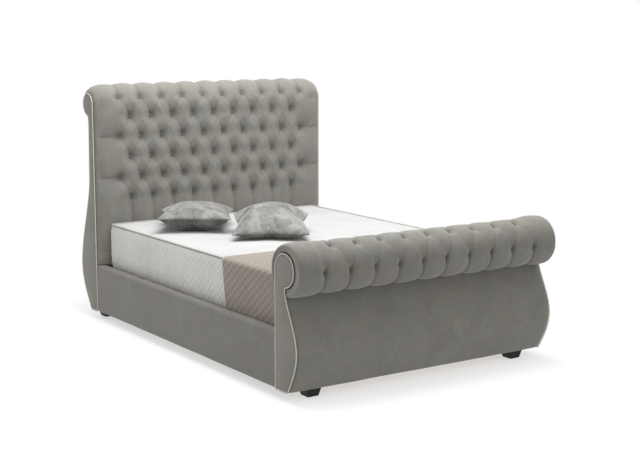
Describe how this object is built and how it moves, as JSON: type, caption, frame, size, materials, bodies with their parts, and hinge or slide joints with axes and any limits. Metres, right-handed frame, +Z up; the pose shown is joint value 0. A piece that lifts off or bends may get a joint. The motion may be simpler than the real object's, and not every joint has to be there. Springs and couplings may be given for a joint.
{
  "type": "sleigh bed",
  "caption": "Upholstered sleigh bed with a tall tufted scroll headboard, low tufted scroll footboard, padded rails, sprung slats, mattress, quilted throw and cushions.",
  "frame": {"origin": "on the floor, under the middle of the bed's bounding box", "axes": "+X to the right seen from the foot of the bed, +Y from the foot to the head, +Z up"},
  "size_m": [1.66, 2.5282, 1.4559],
  "materials": {
    "velvet": "matte",
    "piping_cord": "matte",
    "timber": "matte",
    "slat_beech": "satin",
    "plywood": "matte",
    "zinc_steel": "satin",
    "black_plastic": "matte",
    "leg_metal": "satin",
    "foot_black": "satin",
    "spring_unit": "matte",
    "mattress_cover": "matte",
    "mattress_tape": "satin",
    "throw_cloth": "matte",
    "cushion_velvet": "satin"
  },
  "bodies": {
    "bed_frame": {"head_end_board_left": "plywood", "head_end_board_right": "plywood", "head_facing_left": "velvet", "head_facing_right": "velvet", "head_piping_left": "piping_cord", "head_piping_right": "piping_cord", "head_bottom_rail": "timber", "head_mid_rail": "timber", "head_top_rail": "timber", "head_stiles": "timber", "head_front_board": "velvet", "head_front_pad": "velvet", "head_roll_pad": "velvet", "head_scroll_former": "plywood", "head_buttons": "velvet", "head_back_cover": "velvet", "foot_end_board_left": "plywood", "foot_end_board_right": "plywood", "foot_facing_left": "velvet", "foot_facing_right": "velvet", "foot_piping_left": "piping_cord", "foot_piping_right": "piping_cord", "foot_bottom_rail": "timber", "foot_top_rail": "timber", "foot_stiles": "timber", "foot_inner_panel": "velvet", "foot_outer_panel": "velvet", "foot_roll_pad": "velvet", "foot_scroll_former": "plywood", "foot_buttons": "velvet", "rail_core_left": "timber", "rail_core_right": "timber", "rail_cover_left": "velvet", "rail_cover_right": "velvet", "slat_ledger_left": "timber", "slat_ledger_right": "timber", "rail_brackets": "zinc_steel", "rail_bolts": "zinc_steel", "centre_rail": "timber", "centre_rail_brackets": "zinc_steel", "centre_legs": "leg_metal", "slats_left": "slat_beech", "slats_right": "slat_beech", "slat_caps_side": "black_plastic", "slat_caps_centre": "black_plastic", "front_foot_left": "foot_black", "front_foot_right": "foot_black", "rear_foot_left": "foot_black", "rear_foot_right": "foot_black", "foot_studs": "zinc_steel"},
    "mattress": {"mattress_spring_unit": "spring_unit", "mattress_top_panel": "mattress_cover", "mattress_bottom_panel": "mattress_cover", "mattress_border": "mattress_cover", "mattress_tape_top": "mattress_tape", "mattress_tape_bottom": "mattress_tape"},
    "throw": {"throw": "throw_cloth"},
    "cushion_left": {"cushion_left": "cushion_velvet"},
    "cushion_right": {"cushion_right": "cushion_velvet"}
  },
  "joints": [
    {"name": "mattress_lift", "type": "slide", "parent": "bed_frame", "child": "mattress", "axis": [0, 0, 1], "range_m": [0, 1.15]},
    {"name": "throw_lift", "type": "slide", "parent": "mattress", "child": "throw", "axis": [0, 0, 1], "range_m": [0, 0.5]},
    {"name": "cushion_left_lift", "type": "slide", "parent": "mattress", "child": "cushion_left", "axis": [0, 0, 1], "range_m": [0, 0.4]},
    {"name": "cushion_right_lift", "type": "slide", "parent": "mattress", "child": "cushion_right", "axis": [0, 0, 1], "range_m": [0, 0.4]}
  ]
}
